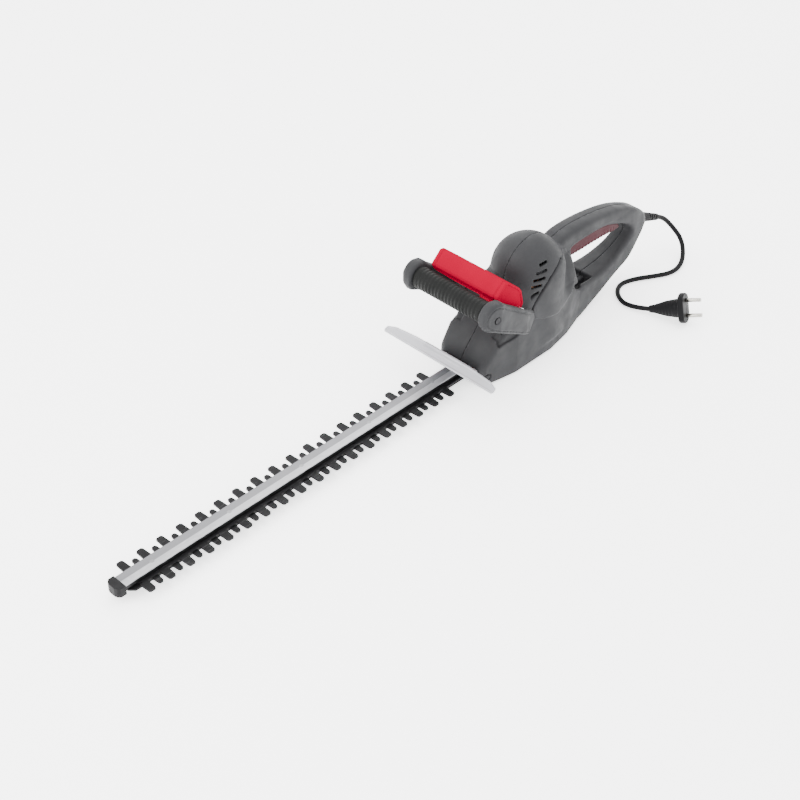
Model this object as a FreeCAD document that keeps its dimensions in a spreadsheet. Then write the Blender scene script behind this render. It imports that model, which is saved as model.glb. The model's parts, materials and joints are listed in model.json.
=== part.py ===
import FreeCAD, Part
import math
import os
import Sketcher
from FreeCAD import Placement, Rotation, Vector

# Electric hedge trimmer with a double-acting reciprocating blade.
# Millimetres. +X runs forward along the blade, +Y is the tool's left side, +Z is up.
# The origin is the foot of the vertical motor axis on the flat underside of the tool.

doc = FreeCAD.newDocument("hedge_trimmer")
sheet = doc.addObject("Spreadsheet::Sheet", "dims")

DRIVING_DIMENSIONS = {
    # casing
    "wall_thickness": 3,
    "base_front": 106,
    "base_rear": -14,
    "nose_front": 113,
    "body_half_width": 42,
    "nose_half_width": 34,
    "neck_half_width": 27,
    "tail_half_width": 13,
    "dome_radius": 43,
    "dome_centre_height": 101,
    "grip_half_width": 15,
    "tail_rear": -221,
    "cover_thickness": 3,
    # motor and gears
    "stator_radius": 36,
    "stator_bore": 21.5,
    "stator_base": 52,
    "stator_height": 42,
    "rotor_radius": 20.8,
    "shaft_radius": 4,
    "shaft_foot": 17.5,
    "shaft_height": 108,
    "gear_module": 1.2,
    "pinion_teeth": 12,
    "gear_teeth": 58,
    "gear_base": 18.5,
    "gear_thickness": 7.5,
    "axle_radius": 5,
    "crank_throw": 5.25,
    "crank_disc_radius": 12,
    "running_gap": 0.05,
    "plate_base": 27,
    "plate_thickness": 3.5,
    # blades and guide bar
    "blade_thickness": 2.2,
    "blade_half_width": 13.3,
    "lower_blade_base": 9.6,
    "upper_blade_base": 12,
    "tooth_pitch": 25.5,
    "long_tooth_reach": 27.3,
    "long_tooth_tip_half": 4.3,
    "long_teeth_per_side": 18,
    "first_long_tooth": 587,
    "short_tooth_reach": 22.6,
    "short_tooth_tip_half": 3.1,
    "first_short_tooth": 572.5,
    "slot_half_width": 3.15,
    "blade_bolt_radius": 3,
    "blade_bolt_spacing": 102,
    "first_blade_bolt": 158,
    "bar_rear": 84.5,
    "bar_front": 613.5,
    "bar_half_width": 8.9,
    "bar_base": 14.5,
    "bar_thickness": 4.6,
    "bar_rib_rise": 0.7,
    # front handle, lever and guard
    "handle_bar_front": 129.5,
    "handle_bar_height": 126,
    "handle_end_radius": 17,
    "handle_half_width": 66,
    "handle_inner_half_width": 51,
    "grip_sleeve_radius": 13,
    "lever_half_width": 49.5,
    "lever_pivot_front": 74,
    "lever_pivot_height": 104,
    "lever_pin_radius": 3,
    "guard_front": 152,
    "guard_height": 44,
    "guard_half_width": 84,
    "guard_thickness": 2.6,
    "guard_rake": 25,
    # trigger, cord and plug
    "trigger_half_width": 9,
    "trigger_pin_front": -57,
    "trigger_pin_height": 104,
    "trigger_pin_radius": 2.5,
    "cord_radius": 3,
    "sleeve_length": 36,
    "sleeve_droop": 24,
    "casing_screw_radius": 1.7,
    "casing_screw_head": 3.4,
    "pin_spacing": 19,
    "plug_pin_radius": 2.4,
}

for row, (alias, value) in enumerate(DRIVING_DIMENSIONS.items(), start=1):
    sheet.set(f"A{row}", alias)
    sheet.set(f"B{row}", str(value))
    sheet.setAlias(f"B{row}", alias)
doc.recompute()

PLANE_TURN = {
    "XY": Rotation(),
    "XZ": Rotation(Vector(1, 0, 0), 90),
    "YZ": Rotation(Vector(1, 1, 1), 120),
}
AXIS_TURN = {
    "X": Rotation(Vector(0, 1, 0), 90),
    "Y": Rotation(Vector(1, 0, 0), -90),
    "Z": Rotation(),
}


def size(alias):
    """A driving dimension as a plain number, for the few shapes made without expressions."""
    return float(sheet.get(alias))


def expression(value):
    """A number or an alias formula as text; aliases are written without the sheet's name."""
    text = str(value)
    for alias in sorted(DRIVING_DIMENSIONS, key=len, reverse=True):
        text = text.replace(alias, "\0" + str(list(DRIVING_DIMENSIONS).index(alias)) + "\1")
    for index, alias in enumerate(DRIVING_DIMENSIONS):
        text = text.replace(f"\0{index}\1", f"dims.{alias}")
    return text


def bind(thing, **formulas):
    """Bind properties to the sheet; a double underscore in a name stands for a dot."""
    for name, formula in formulas.items():
        thing.setExpression(name.replace("__", "."), expression(formula))
    return thing


def place(thing, x=0, y=0, z=0, turn=None):
    """Turn a feature, then bind its position to the sheet."""
    thing.Placement = Placement(Vector(), turn or Rotation())
    return bind(thing, Placement__Base__x=x, Placement__Base__y=y, Placement__Base__z=z)


def cylinder(name, radius, height, x=0, y=0, z=0, axis="Z"):
    thing = doc.addObject("Part::Cylinder", name)
    bind(thing, Radius=radius, Height=height)
    return place(thing, x, y, z, AXIS_TURN[axis])


def cone(name, foot_radius, top_radius, height, x=0, y=0, z=0, turn=None):
    thing = doc.addObject("Part::Cone", name)
    bind(thing, Radius1=foot_radius, Radius2=top_radius, Height=height)
    return place(thing, x, y, z, turn)


def box(name, length, width, height, x=0, y=0, z=0):
    """A box whose x is its rear face, y its middle and z its foot."""
    thing = doc.addObject("Part::Box", name)
    bind(thing, Length=length, Width=width, Height=height)
    return place(thing, x, f"({y}) - ({width}) / 2", z)


def fuse(name, *things):
    thing = doc.addObject("Part::MultiFuse", name)
    thing.Shapes = list(things)
    return thing


def cut(name, base, *tools):
    """The base less one tool, or less several joined tools."""
    thing = doc.addObject("Part::Cut", name)
    thing.Base = base
    thing.Tool = tools[0] if len(tools) == 1 else fuse(name + "_tools", *tools)
    return thing


def common(name, *things):
    thing = doc.addObject("Part::MultiCommon", name)
    thing.Shapes = list(things)
    return thing


def outline(sketch, corners):
    """Draw a closed polygon whose corners are held at pairs of sheet formulas."""
    count = len(corners)
    start = [Vector(50 * math.cos(math.tau * i / count), 50 * math.sin(math.tau * i / count), 0)
             for i in range(count)]
    for i in range(count):
        sketch.addGeometry(Part.LineSegment(start[i], start[(i + 1) % count]), False)
    for i in range(count):
        sketch.addConstraint(Sketcher.Constraint("Coincident", i, 2, (i + 1) % count, 1))
    for i, corner in enumerate(corners):
        for kind, letter, formula, now in zip(("DistanceX", "DistanceY"), "xy", corner, start[i]):
            index = sketch.addConstraint(Sketcher.Constraint(kind, -1, 1, i, 1, now))
            sketch.renameConstraint(index, f"corner{i}{letter}")
            sketch.setExpression(f"Constraints.corner{i}{letter}", expression(formula))
    return sketch


def circle(sketch, radius, x="0", y="0"):
    """Draw a circle whose radius and centre are held at sheet formulas."""
    index = sketch.addGeometry(Part.Circle(Vector(1, 1, 0), Vector(0, 0, 1), 3), False)
    held = (("Radius", (index, 3.0), radius), ("DistanceX", (-1, 1, index, 3, 1.0), x),
            ("DistanceY", (-1, 1, index, 3, 1.0), y))
    for kind, where, formula in held:
        number = sketch.addConstraint(Sketcher.Constraint(kind, *where))
        sketch.renameConstraint(number, f"circle{index}{kind}")
        sketch.setExpression(f"Constraints.circle{index}{kind}", expression(formula))
    return sketch


def prism(name, plane, corners, length, start="0", middle=False):
    """A polygon on a world plane, carried along the plane's normal."""
    sketch = outline(doc.addObject("Sketcher::SketchObject", name + "_outline"), corners)
    sketch.Placement = Placement(Vector(), PLANE_TURN[plane])
    if plane == "XY":
        bind(sketch, Placement__Base__z=start)
    if plane == "XZ":
        bind(sketch, Placement__Base__y=start)
    if plane == "YZ":
        bind(sketch, Placement__Base__x=start)
    thing = doc.addObject("Part::Extrusion", name)
    thing.Base = sketch
    thing.DirMode = "Normal"
    thing.Solid = True
    thing.Symmetric = middle
    return bind(thing, LengthFwd=length)


def mirrored_plan(half):
    """A plan outline made from its +Y half, listed from front to rear."""
    return list(half) + [(x, f"-({y})") for x, y in reversed(half)]


def plane_of(body, role):
    return [feature for feature in body.Origin.OriginFeatures if feature.Role == role][0]


def body_sketch(body, name, role="XY_Plane", height="0"):
    """A sketch on one of a body's own origin planes, raised along its normal."""
    sketch = body.newObject("Sketcher::SketchObject", name)
    sketch.AttachmentSupport = [(plane_of(body, role), "")]
    sketch.MapMode = "FlatFace"
    sketch.setExpression("AttachmentOffset.Base.z", expression(height))
    return sketch


def pad(body, sketch, length):
    feature = body.newObject("PartDesign::Pad", sketch.Name + "_pad")
    feature.Profile = sketch
    return bind(feature, Length=length)


def pocket(body, sketch, length):
    """Cut a sketch upwards through the body."""
    feature = body.newObject("PartDesign::Pocket", sketch.Name + "_pocket")
    feature.Profile = sketch
    feature.Reversed = True
    return bind(feature, Length=length)


def pattern_x(body, feature, pitch, count):
    """Repeat a feature towards the rear along the body's X axis."""
    repeat = body.newObject("PartDesign::LinearPattern", feature.Name + "_row")
    repeat.Originals = [feature]
    repeat.Direction = (plane_of(body, "X_Axis"), [""])
    repeat.Reversed = True
    bind(repeat, Length=f"({pitch}) * (({count}) - 1)", Occurrences=count)
    body.Tip = repeat
    return repeat


nodes = []


def node(name, thing):
    """Name a finished sub-part: its label becomes the name of its file."""
    thing.Label = name
    nodes.append(thing)
    return thing


# ---------------------------------------------------------------- casing

SIDE_BOTTOM = [
    ("base_rear", "0"), ("-50", "1"), ("-77", "2"), ("-98", "8"), ("-120", "13"), ("-142", "21"),
    ("-163", "26.5"), ("-178", "30"), ("-190", "38"), ("-203", "52"), ("-213", "61"),
    ("tail_rear", "66"), ("tail_rear", "74"),
]
SIDE_TOP = [
    ("-214", "84"), ("-200", "96"), ("-180", "107"), ("-150", "118"), ("-111", "125"), ("-73", "128"),
    ("-44", "126"), ("-20", "112"), ("36", "100"), ("58", "86"), ("83", "62"), ("nose_front - 1", "27"),
    ("nose_front", "20"), ("nose_front", "8"), ("base_front", "0"),
]
PLAN_HALF = [
    ("nose_front", "nose_half_width - 6"), ("nose_front - 7", "nose_half_width + 1"),
    ("60", "body_half_width"), ("-4", "body_half_width"), ("-40", "body_half_width - 6"),
    ("-70", "neck_half_width"), ("-110", "neck_half_width - 5"), ("-165", "tail_half_width + 3"),
    ("-190", "tail_half_width + 1"), ("-207", "tail_half_width - 1"), ("tail_rear", "tail_half_width - 5.5"),
]
HAND_OPENING = [
    ("-64", "54"), ("-78", "46"), ("-125", "45"), ("-160", "54"), ("-182", "67"), ("-184", "76"),
    ("-170", "89"), ("-142", "100"), ("-118", "105"), ("-66", "105"), ("-60", "98"),
]


def casing_solid():
    """The casing's outer form: belly and D-shaped rear handle, with the motor dome on top."""
    side = prism("casing_side", "XZ", SIDE_BOTTOM + SIDE_TOP, "body_half_width * 2 + 10", middle=True)
    plan = prism("casing_plan", "XY", mirrored_plan(PLAN_HALF), "140")
    belly = common("casing_belly", side, plan)
    shoulders = []
    for flank, sign in (("left", ""), ("right", "0 - ")):
        shoulders.append(prism(f"shoulder_{flank}", "YZ", [
            (f"{sign}grip_half_width", "150"), (f"{sign}grip_half_width", "104"),
            (f"{sign}(neck_half_width + 4)", "72"), (f"{sign}70", "40"), (f"{sign}70", "150"),
        ], "232", "-225"))
    slim_belly = cut("slim_belly", belly, *shoulders)
    dome_wall = cylinder("dome_wall", "dome_radius", "dome_centre_height - 20", z="20")
    dome_cap = doc.addObject("Part::Sphere", "dome_cap")
    bind(dome_cap, Radius="dome_radius")
    place(dome_cap, z="dome_centre_height")
    return fuse("casing_outer", slim_belly, dome_wall, dome_cap)


# Casing screws: forward position, height, and the depth of the head inside the right-hand wall.
CASING_SCREWS = [("-207", "76", "11"), ("-150", "43", "14"), ("-53", "34", "27"), ("-54", "82", "26"),
                 ("52", "82", "38")]


def screw(name, x, y, z, axis, head, shank, length):
    """A pan-head screw whose head rests its outer face at a point; the axis runs into the work."""
    head_height = "2.4"
    shift = {letter: (head_height if letter == axis else "0") for letter in "XYZ"}
    head_disc = cylinder(name + "_head", head, head_height, x, y, z, axis)
    stem = cylinder(name + "_stem", shank, length, f"({x}) + {shift['X']}",
                    f"({y}) + {shift['Y']}", f"({z}) + {shift['Z']}", axis)
    return fuse(name, head_disc, stem)


def casing_screw_ways():
    """Counterbores from the right-hand side, and the holes on into the left-hand half."""
    ways = []
    for number, (x, z, depth) in enumerate(CASING_SCREWS):
        ways.append(cylinder(f"screw_bore{number}", "casing_screw_head + 0.5", "40", x,
                             f"-({depth}) + 2.4 - 40", z, "Y"))
        ways.append(cylinder(f"screw_way{number}", "casing_screw_radius", f"{depth} + 7", x,
                             f"-({depth})", z, "Y"))
    return fuse("casing_screw_ways", *ways)


def sleeve_cone(name):
    """The cord sleeve's tapered outer form, drooping back from the tail of the handle."""
    turn = Rotation(Vector(0, 1, 0), -90 - size("sleeve_droop"))
    return cone(name, "6.4", "4.2", "sleeve_length", "tail_rear", "0", "70", turn)


def guard_screw_ways(name):
    """The two threaded ways that the guard's screws follow into the nose."""
    return fuse(name, *[cylinder(f"{name}_{side}", "1.6", "16", "nose_front - 10", middle, "23.6", "X")
                        for side, middle in (("left", "21"), ("right", "-21"))])


def casing_hollow():
    """Everything taken out of the casing: the chambers, the hand opening and the ways through."""
    gear_room = prism("gear_room", "XY", mirrored_plan([
        ("nose_front - 7", "nose_half_width - 8"), ("nose_front - 14", "nose_half_width - 3"),
        ("60", "body_half_width - wall_thickness"), ("-16", "body_half_width - wall_thickness"),
        ("-34", "body_half_width - wall_thickness - 8"),
    ]), "43", "7")
    room_side = prism("room_side", "XZ", [
        ("-34", "8"), ("nose_front - 4", "8"), ("nose_front - 4", "22"), ("80", "60"), ("-34", "60"),
    ], "body_half_width * 2", middle=True)
    gear_chamber = common("gear_chamber", gear_room, room_side)
    motor_chamber = cylinder("motor_chamber", "dome_radius - wall_thickness",
                             "dome_centre_height - 30", z="30")
    motor_top = doc.addObject("Part::Sphere", "motor_top")
    bind(motor_top, Radius="dome_radius - wall_thickness")
    place(motor_top, z="dome_centre_height")
    switch_room = prism("switch_room", "XZ", [
        ("-48", "106"), ("-48", "120"), ("-72", "123.5"), ("-112", "121"), ("-140", "115"),
        ("-128", "106"),
    ], "grip_half_width * 2 - wall_thickness * 2", middle=True)
    trigger_mouth = prism("trigger_mouth", "XZ", [
        ("-51", "98"), ("-51", "112.5"), ("-150", "112.5"), ("-168", "105"), ("-170", "88"),
        ("-138", "88"), ("-130", "98"),
    ], "trigger_half_width * 2 + 1.2", middle=True)
    lever_switch_room = box("lever_switch_room", "30", "26", "22", "36", "0", "57")
    lever_slot = box("lever_slot", "22", "22", "40", "60", "0", "64")
    cover_seat = prism("cover_seat", "XY", mirrored_plan([
        ("base_front - 3", "nose_half_width - 9"), ("60", "body_half_width - 7"),
        ("base_rear + 3", "body_half_width - 7"),
    ]), "9.7", "-0.2")
    hand_opening = prism("hand_opening", "XZ", HAND_OPENING, "200", middle=True)
    hook_window = prism("hook_window", "XY", [
        ("-70", "19"), ("-104", "17"), ("-104", "-17"), ("-70", "-19"),
    ], "70", "0")
    hook_tongue = box("hook_tongue", "22", "10", "9", "-106", "0", "30")
    window = cut("cord_hook_window", hook_window, hook_tongue)
    blade_mouth = box("blade_mouth", "40", "33", "13.6", "nose_front - 12", "0", "7")
    cord_way = cylinder("cord_way", "4.4", "30", x="tail_rear - 4", z="70", axis="X")
    pin_way = cylinder("trigger_pin_way", "trigger_pin_radius", "26", "trigger_pin_front", "-13",
                       "trigger_pin_height", "Y")
    clamp_room = box("clamp_room", "16", "16", "12", "-202", "0", "64")
    return fuse("casing_inside", gear_chamber, motor_chamber, motor_top, switch_room, trigger_mouth,
                lever_switch_room, lever_slot, cover_seat, hand_opening, window, blade_mouth,
                cord_way, pin_way, clamp_room, sleeve_cone("sleeve_seat"), casing_screw_ways(),
                guard_screw_ways("casing_guard_way"))


def casing_halves():
    """The casing splits along the middle plane into two clamshell halves."""
    shell = cut("casing_shell", casing_solid(), casing_hollow())
    for name, middle in (("housing_left", "75"), ("housing_right", "-75")):
        half_space = box(name + "_side", "400", "150", "200", "-240", middle, "-5")
        node(name, common(name, shell, half_space))


def casing_screws():
    parts = []
    for number, (x, z, depth) in enumerate(CASING_SCREWS):
        parts.append(screw(f"casing_screw{number}", x, f"-({depth})", z, "Y", "casing_screw_head",
                           "casing_screw_radius", f"{depth} + 3"))
    node("housing_screws", fuse("casing_screw_set", *parts))


# ---------------------------------------------------------------- gearbox frame and cover

# Cover posts (forward position, offset), the guide bar's bolts, and the large gear's centre.
POSTS = [("12", "29"), ("88", "24")]
BAR_BOLTS = ["89", "97.5"]
GEAR_CENTRE = "gear_module * (pinion_teeth + gear_teeth) / 2"


def gear_plate():
    """The cast plate that carries the lower motor bearing, the gear axle and the guide bar."""
    body = doc.addObject("PartDesign::Body", "gear_plate_body")
    sheet_metal = outline(body_sketch(body, "plate", height="plate_base"), mirrored_plan([
        ("102", "13"), ("92", "28"), ("60", "35"), ("-8", "35"), ("-31", "26"),
    ]))
    pad(body, sheet_metal, "plate_thickness")
    boss = circle(body_sketch(body, "bearing_boss", height="plate_base"), "14")
    pad(body, boss, "9.5")
    feet = body_sketch(body, "post_feet", height="cover_thickness")
    for x, y in POSTS:
        circle(feet, "4", x, y)
        circle(feet, "4", x, f"0 - {y}")
    pad(body, feet, "plate_base - cover_thickness + 1")
    bar_feet = body_sketch(body, "bar_feet", height="bar_base + bar_thickness")
    for x in BAR_BOLTS:
        circle(bar_feet, "4.4", x)
    pad(body, bar_feet, "plate_base - bar_base - bar_thickness + 1")
    threads = body_sketch(body, "post_threads", height="cover_thickness")
    for x, y in POSTS:
        circle(threads, "1.6", x, y)
        circle(threads, "1.6", x, f"0 - {y}")
    pocket(body, threads, "9")
    pocket(body, circle(body_sketch(body, "bearing_pocket", height="plate_base + 2.5"), "11"), "20")
    ways = circle(body_sketch(body, "shaft_way", height="plate_base - 1"), "6")
    circle(ways, "axle_radius", GEAR_CENTRE)
    pocket(body, ways, "20")
    bolt_ways = body_sketch(body, "bolt_ways", height="bar_base")
    for x in BAR_BOLTS:
        circle(bolt_ways, "2.5", x)
    pocket(body, bolt_ways, "40")
    node("gear_plate", body)


def bottom_cover():
    """The flat plate under the gears, with sunk heads at the four posts."""
    plate = prism("cover_plate", "XY", mirrored_plan([
        ("base_front - 3.3", "nose_half_width - 9.3"), ("60", "body_half_width - 7.3"),
        ("base_rear + 3.3", "body_half_width - 7.3"),
    ]), "cover_thickness")
    sinks = []
    screws = []
    for number, (x, y) in enumerate(POSTS):
        for side, sign in (("left", ""), ("right", "0 - ")):
            name = f"cover_screw{number}_{side}"
            sinks.append(cylinder(name + "_sink", "3.6", "2.65", x, sign + y, "-0.2"))
            sinks.append(cylinder(name + "_hole", "1.6", "cover_thickness", x, sign + y))
            screws.append(screw(name, x, sign + y, "0.05", "Z", "3.2", "1.6", "8"))
    node("bottom_cover", cut("cover_with_sinks", plate, *sinks))
    node("bottom_cover_screws", fuse("cover_screw_set", *screws))


# ---------------------------------------------------------------- motor


def motor_still_parts():
    """The field core with its two coils, the end shield, bearings, brushes and their holders."""
    top = "stator_base + stator_height"
    slots = []
    coils = []
    for name, sign in (("front", ""), ("rear", "0 - ")):
        legs = []
        for side, middle in (("left", "26"), ("right", "-26")):
            rear = f"{sign}14 - 4"
            slots.append(box(f"{name}_{side}_slot", "8", "7", "stator_height + 2", rear, middle,
                             "stator_base - 1"))
            legs.append(box(f"{name}_{side}_leg", "8", "7", "stator_height + 12", rear, middle,
                            "stator_base - 6"))
        for level, foot in (("lower", "stator_base - 6"), ("upper", top)):
            ring = cut(f"{name}_{level}_ring", cylinder(f"{name}_{level}_rim", "31", "6", z=foot),
                       cylinder(f"{name}_{level}_eye", "22.5", "6", z=foot))
            half = box(f"{name}_{level}_half", "40", "80", "6", "12" if name == "front" else "-52", "0", foot)
            legs.append(common(f"{name}_{level}_turn", ring, half))
        coils.append(fuse(f"{name}_coil", *legs))
    core = cylinder("field_stack", "stator_radius", "stator_height", z="stator_base")
    bore = cylinder("field_bore", "stator_bore", "stator_height", z="stator_base")
    node("stator_core", cut("field_core", core, bore, *slots))
    node("stator_coils", fuse("coil_pair", *coils))
    for name, foot, outer in (("motor_bearing_lower", "plate_base + 2.5", "11"),
                              ("motor_bearing_upper", "118", "9.5")):
        race = cylinder(name + "_rim", outer, "7", z=foot)
        eye = cylinder(name + "_eye", "shaft_radius + running_gap", "7", z=foot)
        node(name, cut(name + "_ring", race, eye))
    end_shield()
    brushes()


def end_shield():
    """The upper motor frame: a disc with a bearing hub on four pillars from the field core."""
    disc = cylinder("shield_disc", "35", "3", z="114.5")
    hub = cylinder("shield_hub", "12.5", "11", z="114.5")
    pillars = []
    for number in range(4):
        angle = math.radians(45 + 90 * number)
        x = f"33.6 * {round(math.cos(angle), 4)}"
        y = f"33.6 * {round(math.sin(angle), 4)}"
        pillars.append(cylinder(f"shield_pillar{number}", "2.3", "116 - stator_base - stator_height", x, y,
                                "stator_base + stator_height"))
    seat = cylinder("shield_seat", "9.5", "9", z="118")
    way = cylinder("shield_way", "6", "10", z="112")
    node("motor_end_shield", cut("shield", fuse("shield_solid", disc, hub, *pillars), seat, way))


def brushes():
    holders = []
    carbons = []
    for side, sign in (("left", ""), ("right", "0 - ")):
        middle = f"{sign}(20)"
        case = box(f"{side}_holder_case", "9", "15", "13", "-4.5", middle, "101.5")
        channel = box(f"{side}_holder_way", "6", "16", "8", "-3", middle, "103")
        holders.append(cut(f"{side}_holder", case, channel))
        carbons.append(box(f"{side}_carbon", "6", "13", "8", "-3", f"{sign}(17.7)", "103"))
    node("brush_holders", fuse("holder_pair", *holders))
    node("carbon_brushes", fuse("carbon_pair", *carbons))


def involute_outline(teeth, module, addendum, turn):
    """A spur gear's outline with involute flanks, a little thinner than full for running play."""
    pressure = math.radians(20)
    pitch_radius = module * teeth / 2
    base_radius = pitch_radius * math.cos(pressure)
    tip_radius = pitch_radius + addendum
    root_radius = pitch_radius - 1.25 * module
    play = 0.12
    involute_at_pitch = math.tan(pressure) - pressure
    half_tooth = math.pi / (2 * teeth) - play / (2 * pitch_radius) + involute_at_pitch
    steps = 5
    start = max(base_radius, root_radius)
    flank = [(root_radius, half_tooth)]
    for step in range(steps + 1):
        radius = start + (tip_radius - start) * step / steps
        roll = math.acos(min(1, base_radius / radius))
        flank.append((radius, half_tooth - (math.tan(roll) - roll)))
    points = []
    for tooth in range(teeth):
        middle = math.radians(turn) + math.tau * tooth / teeth
        both = [(radius, middle - angle) for radius, angle in flank]
        both += [(radius, middle + angle) for radius, angle in reversed(flank)]
        points += [Vector(radius * math.cos(angle), radius * math.sin(angle), 0) for radius, angle in both]
    return Part.makePolygon(points + [points[0]])


def toothed_disc(name, teeth, addendum, turn, bore, height):
    """A spur gear with a plain bore; its flanks are curves that no primitive gives."""
    face = Part.Face(involute_outline(teeth, size("gear_module"), addendum, turn))
    disc = face.extrude(Vector(0, 0, height))
    if bore:
        disc = disc.cut(Part.makeCylinder(bore, height))
    thing = doc.addObject("Part::Feature", name)
    thing.Shape = disc
    return thing


def rotor():
    """The turning parts of the motor, stacked on one shaft with the pinion at its foot."""
    shaft = cylinder("shaft_rod", "shaft_radius", "shaft_height", z="shaft_foot")
    teeth = toothed_disc("pinion_teeth_ring", int(size("pinion_teeth")), size("gear_module"), 0, 0,
                         size("gear_thickness") + 1)
    place(teeth, z="shaft_foot")
    node("rotor_shaft", fuse("shaft_with_pinion", shaft, teeth))
    stack = cylinder("rotor_stack", "rotor_radius", "stator_height - 2", z="stator_base + 1")
    eye = cylinder("rotor_eye", "shaft_radius", "60", z="stator_base - 2")
    node("rotor_core", cut("rotor_core_ring", stack, eye))
    turns = []
    for level, foot in (("lower", "stator_base - 4"), ("upper", "stator_base + stator_height - 1")):
        rim = cylinder(f"winding_{level}_rim", "18.5", "5", z=foot)
        eye = cylinder(f"winding_{level}_eye", "shaft_radius", "5", z=foot)
        turns.append(cut(f"winding_{level}", rim, eye))
    node("rotor_windings", fuse("winding_pair", *turns))
    drum = cylinder("commutator_rim", "11", "12", z="101")
    eye = cylinder("commutator_eye", "shaft_radius", "12", z="101")
    node("commutator", cut("commutator_ring", drum, eye))
    cooling_fan()


def cooling_fan():
    """A disc with a ring of straight vanes, just under the field core."""
    foot = "38"
    disc = cylinder("fan_disc", "33", "1.6", z=foot)
    hub = cylinder("fan_hub", "8", "7", z=foot)
    vane = box("fan_vane", "20", "1.4", "6.5", "12.5", "0", foot)
    vanes = doc.addObject("Part::Feature", "fan_vanes")
    doc.recompute()
    count = 10
    turned = []
    for number in range(count):
        copy = vane.Shape.copy()
        copy.rotate(Vector(), Vector(0, 0, 1), 360 * number / count)
        turned.append(copy)
    vanes.Shape = Part.makeCompound(turned)
    solid = fuse("fan_solid", disc, hub, vanes)
    node("cooling_fan", cut("fan", solid, cylinder("fan_eye", "shaft_radius", "10", z=foot)))


# ---------------------------------------------------------------- gear and cranks


def gear_and_cranks():
    """The large gear on its fixed axle, with a crank disc above and one below the blades' level."""
    node("gear_axle", cylinder("axle_rod", "axle_radius", "plate_base + plate_thickness - cover_thickness",
                               GEAR_CENTRE, "0", "cover_thickness"))
    bore = size("axle_radius") + size("running_gap")
    stub_addendum = 0.7 * size("gear_module")
    teeth = int(size("gear_teeth"))
    gear = toothed_disc("gear_disc", teeth, stub_addendum, 180 / teeth, bore, size("gear_thickness"))
    place(gear, GEAR_CENTRE, "0", "gear_base")
    node("drive_gear", gear)
    levels = (("upper", "-", "14.6", "3.2", "gear_base - 14.6"), ("lower", "+", "5.4", "3.4", "9.2"))
    for name, sign, foot, disc_height, hub_height in levels:
        disc = cylinder(f"{name}_crank_disc", "crank_disc_radius", disc_height,
                        f"{GEAR_CENTRE} {sign} crank_throw", "0", foot)
        hub = cylinder(f"{name}_crank_hub", "7", hub_height, GEAR_CENTRE, "0", foot)
        eye = cylinder(f"{name}_crank_eye", "axle_radius + running_gap", "20", GEAR_CENTRE, "0", "3")
        node(f"crank_{name}", cut(f"{name}_crank", fuse(f"{name}_crank_solid", disc, hub), eye))


# ---------------------------------------------------------------- blades

BLADE_BOLT_COUNT = "5"
TIP_RIVET = "610.2"


def blade(name, foot, shift, kind, first, count, slot_rear, slot_front):
    """A flat blade with a row of long or short teeth on each edge, and slots for the bolts."""
    rear, front = f"{shift} + 61", f"{shift} + 593"
    reach, tip_half = f"{kind}_tooth_reach", f"{kind}_tooth_tip_half"
    body = doc.addObject("PartDesign::Body", name + "_body")
    strip = outline(body_sketch(body, name + "_strip", height=foot), [
        (rear, "0 - blade_half_width"), (f"{front} - 6", "0 - blade_half_width"),
        (front, "6 - blade_half_width"), (front, "blade_half_width - 6"),
        (f"{front} - 6", "blade_half_width"), (rear, "blade_half_width"),
    ])
    pad(body, strip, "blade_thickness")
    for row_name, sign in (("far", "0 - "), ("near", "")):
        tooth = outline(body_sketch(body, f"{name}_{row_name}_tooth", height=foot), [
            (f"{first} - {tip_half} - 0.7", f"{sign}(blade_half_width - 1)"),
            (f"{first} + {tip_half} + 0.7", f"{sign}(blade_half_width - 1)"),
            (f"{first} + {tip_half}", f"{sign}({reach} - 1.8)"),
            (f"{first} + {tip_half} - 1.5", f"{sign}{reach}"),
            (f"{first} - {tip_half} + 1.5", f"{sign}{reach}"),
            (f"{first} - {tip_half}", f"{sign}({reach} - 1.8)"),
        ])
        pattern_x(body, pad(body, tooth, "blade_thickness"), "tooth_pitch", count)
    slot = outline(body_sketch(body, name + "_slot", height=foot), [
        (f"first_blade_bolt - {slot_rear}", "0 - slot_half_width"),
        (f"first_blade_bolt + {slot_front}", "0 - slot_half_width"),
        (f"first_blade_bolt + {slot_front}", "slot_half_width"),
        (f"first_blade_bolt - {slot_rear}", "slot_half_width"),
    ])
    slots = pocket(body, slot, "blade_thickness")
    pattern_x(body, slots, "blade_bolt_spacing", BLADE_BOLT_COUNT).Reversed = False
    pin_hole = circle(body_sketch(body, name + "_pin_hole", height=foot), "3", f"{shift} + 67")
    body.Tip = pocket(body, pin_hole, "blade_thickness")
    node(name, body)


def con_rod(level, ring_foot, ring_centre, shift, tongue_foot, tongue_top, pin_foot, pin_top):
    """A rod whose wide eye is clear of the crank disc, pinned to the rear of its blade."""
    name = "con_rod_" + level
    below = f"{ring_foot} - 5"
    ring = cylinder(name + "_rim", "27", "3", ring_centre, "0", ring_foot)
    tongue = box(name + "_tongue", "14", "13", f"{tongue_top} - {tongue_foot}", f"{shift} + 59", "0",
                 tongue_foot)
    eye = cylinder(name + "_eye", "crank_disc_radius + crank_throw * 2 + 0.6", "20", ring_centre, "0", below)
    pin_hole = cylinder(name + "_pin_hole", "3", "20", f"{shift} + 67", "0", below)
    node(name, cut(name + "_rod", fuse(name + "_solid", ring, tongue), eye, pin_hole))
    pin = cylinder(name + "_pin", "3", f"{pin_top} - {pin_foot}", f"{shift} + 67", "0", pin_foot)
    node("rod_pin_" + level, pin)


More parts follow.
